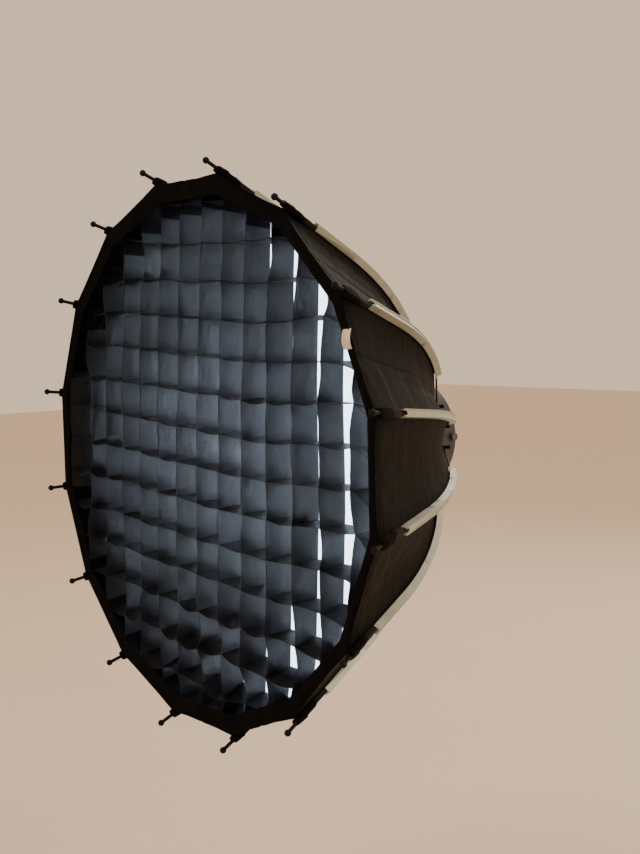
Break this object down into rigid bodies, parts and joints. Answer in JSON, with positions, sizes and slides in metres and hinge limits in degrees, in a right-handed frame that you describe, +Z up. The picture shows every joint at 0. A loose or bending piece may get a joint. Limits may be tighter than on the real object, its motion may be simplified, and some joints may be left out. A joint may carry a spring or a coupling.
{
  "type": "octabox",
  "caption": "Deep folding studio softbox: curved ribs on a lamp ring carry a black cloth shell with a white front cloth and a square egg-crate grid.",
  "frame": {"origin": "on the axis of the lamp opening, in the plane of the rear face that seats against the lamp", "axes": "+Y back along the axis towards the lamp, so the front faces -Y; +Z up, half way between two ribs"},
  "size_m": [0.8732, 0.5131, 0.8732],
  "materials": {
    "rib_metal": "satin grey-beige anodised",
    "rod_black": "black coated wire with a moulded ball",
    "shell_cloth": "very dark brown-black woven nylon, slight sheen",
    "hub_plastic": "matt black moulded",
    "mount_metal": "bare turned",
    "screw_steel": "dark steel",
    "pin_steel": "ground",
    "runner_plastic": "matt dark grey moulded",
    "button_plastic": "matt black moulded",
    "spring_steel": "spring steel",
    "diffuser_cloth": "white translucent cloth",
    "grid_cloth": "dark blue-grey cloth with a soft sheen",
    "border_cloth": "black woven cloth"
  },
  "bodies": {
    "hub": {"hub_body": "hub_plastic", "hub_cover": "hub_plastic", "bayonet_ring": "mount_metal", "hub_screws": "screw_steel", "hinge_pins": "pin_steel", "latch_leaves": "spring_steel", "front_diffuser": "diffuser_cloth", "grid_lattice": "grid_cloth", "grid_border": "border_cloth"},
    "runner": {"runner_ring": "runner_plastic"},
    "release_left": {"release_button_left": "button_plastic"},
    "release_right": {"release_button_right": "button_plastic"},
    "rib_01": {"rib_channel_01": "rib_metal", "rib_rod_01": "rod_black", "shell_panel_01": "shell_cloth"},
    "rib_02": {"rib_channel_02": "rib_metal", "rib_rod_02": "rod_black", "shell_panel_02": "shell_cloth"},
    "rib_03": {"rib_channel_03": "rib_metal", "rib_rod_03": "rod_black", "shell_panel_03": "shell_cloth"},
    "rib_04": {"rib_channel_04": "rib_metal", "rib_rod_04": "rod_black", "shell_panel_04": "shell_cloth"},
    "rib_05": {"rib_channel_05": "rib_metal", "rib_rod_05": "rod_black", "shell_panel_05": "shell_cloth"},
    "rib_06": {"rib_channel_06": "rib_metal", "rib_rod_06": "rod_black", "shell_panel_06": "shell_cloth"},
    "rib_07": {"rib_channel_07": "rib_metal", "rib_rod_07": "rod_black", "shell_panel_07": "shell_cloth"},
    "rib_08": {"rib_channel_08": "rib_metal", "rib_rod_08": "rod_black", "shell_panel_08": "shell_cloth"},
    "rib_09": {"rib_channel_09": "rib_metal", "rib_rod_09": "rod_black", "shell_panel_09": "shell_cloth"},
    "rib_10": {"rib_channel_10": "rib_metal", "rib_rod_10": "rod_black", "shell_panel_10": "shell_cloth"},
    "rib_11": {"rib_channel_11": "rib_metal", "rib_rod_11": "rod_black", "shell_panel_11": "shell_cloth"},
    "rib_12": {"rib_channel_12": "rib_metal", "rib_rod_12": "rod_black", "shell_panel_12": "shell_cloth"},
    "rib_13": {"rib_channel_13": "rib_metal", "rib_rod_13": "rod_black", "shell_panel_13": "shell_cloth"},
    "rib_14": {"rib_channel_14": "rib_metal", "rib_rod_14": "rod_black", "shell_panel_14": "shell_cloth"},
    "rib_15": {"rib_channel_15": "rib_metal", "rib_rod_15": "rod_black", "shell_panel_15": "shell_cloth"},
    "rib_16": {"rib_channel_16": "rib_metal", "rib_rod_16": "rod_black", "shell_panel_16": "shell_cloth"}
  },
  "joints": [
    {"name": "rib_01_fold", "type": "hinge", "parent": "hub", "child": "rib_01", "pos_m": [0.01561, -0.02428, 0.07846], "axis": [0.9808, 0, -0.1951], "range_deg": [0, 38], "deforming": ["shell_panel_01", "front_diffuser", "grid_lattice", "grid_border"]},
    {"name": "rib_02_fold", "type": "hinge", "parent": "hub", "child": "rib_02", "pos_m": [-0.01561, -0.02428, 0.07846], "axis": [0.9808, 0, 0.1951], "range_deg": [0, 38], "deforming": ["shell_panel_02"]},
    {"name": "rib_03_fold", "type": "hinge", "parent": "hub", "child": "rib_03", "pos_m": [-0.04445, -0.02428, 0.06652], "axis": [0.8315, 0, 0.5556], "range_deg": [0, 38], "deforming": ["shell_panel_03"]},
    {"name": "rib_04_fold", "type": "hinge", "parent": "hub", "child": "rib_04", "pos_m": [-0.06652, -0.02428, 0.04445], "axis": [0.5556, 0, 0.8315], "range_deg": [0, 38], "deforming": ["shell_panel_04"]},
    {"name": "rib_05_fold", "type": "hinge", "parent": "hub", "child": "rib_05", "pos_m": [-0.07846, -0.02428, 0.01561], "axis": [0.1951, 0, 0.9808], "range_deg": [0, 38], "deforming": ["shell_panel_05"]},
    {"name": "rib_06_fold", "type": "hinge", "parent": "hub", "child": "rib_06", "pos_m": [-0.07846, -0.02428, -0.01561], "axis": [-0.1951, 0, 0.9808], "range_deg": [0, 38], "deforming": ["shell_panel_06"]},
    {"name": "rib_07_fold", "type": "hinge", "parent": "hub", "child": "rib_07", "pos_m": [-0.06652, -0.02428, -0.04445], "axis": [-0.5556, 0, 0.8315], "range_deg": [0, 38], "deforming": ["shell_panel_07"]},
    {"name": "rib_08_fold", "type": "hinge", "parent": "hub", "child": "rib_08", "pos_m": [-0.04445, -0.02428, -0.06652], "axis": [-0.8315, 0, 0.5556], "range_deg": [0, 38], "deforming": ["shell_panel_08"]},
    {"name": "rib_09_fold", "type": "hinge", "parent": "hub", "child": "rib_09", "pos_m": [-0.01561, -0.02428, -0.07846], "axis": [-0.9808, 0, 0.1951], "range_deg": [0, 38], "deforming": ["shell_panel_09"]},
    {"name": "rib_10_fold", "type": "hinge", "parent": "hub", "child": "rib_10", "pos_m": [0.01561, -0.02428, -0.07846], "axis": [-0.9808, 0, -0.1951], "range_deg": [0, 38], "deforming": ["shell_panel_10"]},
    {"name": "rib_11_fold", "type": "hinge", "parent": "hub", "child": "rib_11", "pos_m": [0.04445, -0.02428, -0.06652], "axis": [-0.8315, 0, -0.5556], "range_deg": [0, 38], "deforming": ["shell_panel_11"]},
    {"name": "rib_12_fold", "type": "hinge", "parent": "hub", "child": "rib_12", "pos_m": [0.06652, -0.02428, -0.04445], "axis": [-0.5556, 0, -0.8315], "range_deg": [0, 38], "deforming": ["shell_panel_12"]},
    {"name": "rib_13_fold", "type": "hinge", "parent": "hub", "child": "rib_13", "pos_m": [0.07846, -0.02428, -0.01561], "axis": [-0.1951, 0, -0.9808], "range_deg": [0, 38], "deforming": ["shell_panel_13"]},
    {"name": "rib_14_fold", "type": "hinge", "parent": "hub", "child": "rib_14", "pos_m": [0.07846, -0.02428, 0.01561], "axis": [0.1951, 0, -0.9808], "range_deg": [0, 38], "deforming": ["shell_panel_14"]},
    {"name": "rib_15_fold", "type": "hinge", "parent": "hub", "child": "rib_15", "pos_m": [0.06652, -0.02428, 0.04445], "axis": [0.5556, 0, -0.8315], "range_deg": [0, 38], "deforming": ["shell_panel_15"]},
    {"name": "rib_16_fold", "type": "hinge", "parent": "hub", "child": "rib_16", "pos_m": [0.04445, -0.02428, 0.06652], "axis": [0.8315, 0, -0.5556], "range_deg": [0, 38], "deforming": ["shell_panel_16"]},
    {"name": "runner_slide", "type": "slide", "parent": "hub", "child": "runner", "axis": [0, 1, 0], "range_m": [0, 0.01192], "deforming": ["latch_leaves"]},
    {"name": "release_left_press", "type": "slide", "parent": "hub", "child": "release_left", "axis": [1, 0, 0], "range_m": [0, 0.003], "stiffness_N_per_m": 800},
    {"name": "release_right_press", "type": "slide", "parent": "hub", "child": "release_right", "axis": [-1, 0, 0], "range_m": [0, 0.003], "stiffness_N_per_m": 800}
  ],
  "couplings": [
    {"joint": "rib_02_fold", "follows": "rib_01_fold", "ratio": 1},
    {"joint": "rib_03_fold", "follows": "rib_01_fold", "ratio": 1},
    {"joint": "rib_04_fold", "follows": "rib_01_fold", "ratio": 1},
    {"joint": "rib_05_fold", "follows": "rib_01_fold", "ratio": 1},
    {"joint": "rib_06_fold", "follows": "rib_01_fold", "ratio": 1},
    {"joint": "rib_07_fold", "follows": "rib_01_fold", "ratio": 1},
    {"joint": "rib_08_fold", "follows": "rib_01_fold", "ratio": 1},
    {"joint": "rib_09_fold", "follows": "rib_01_fold", "ratio": 1},
    {"joint": "rib_10_fold", "follows": "rib_01_fold", "ratio": 1},
    {"joint": "rib_11_fold", "follows": "rib_01_fold", "ratio": 1},
    {"joint": "rib_12_fold", "follows": "rib_01_fold", "ratio": 1},
    {"joint": "rib_13_fold", "follows": "rib_01_fold", "ratio": 1},
    {"joint": "rib_14_fold", "follows": "rib_01_fold", "ratio": 1},
    {"joint": "rib_15_fold", "follows": "rib_01_fold", "ratio": 1},
    {"joint": "rib_16_fold", "follows": "rib_01_fold", "ratio": 1},
    {"joint": "runner_slide", "follows": "rib_01_fold", "m_per_rad": 0.017672}
  ]
}
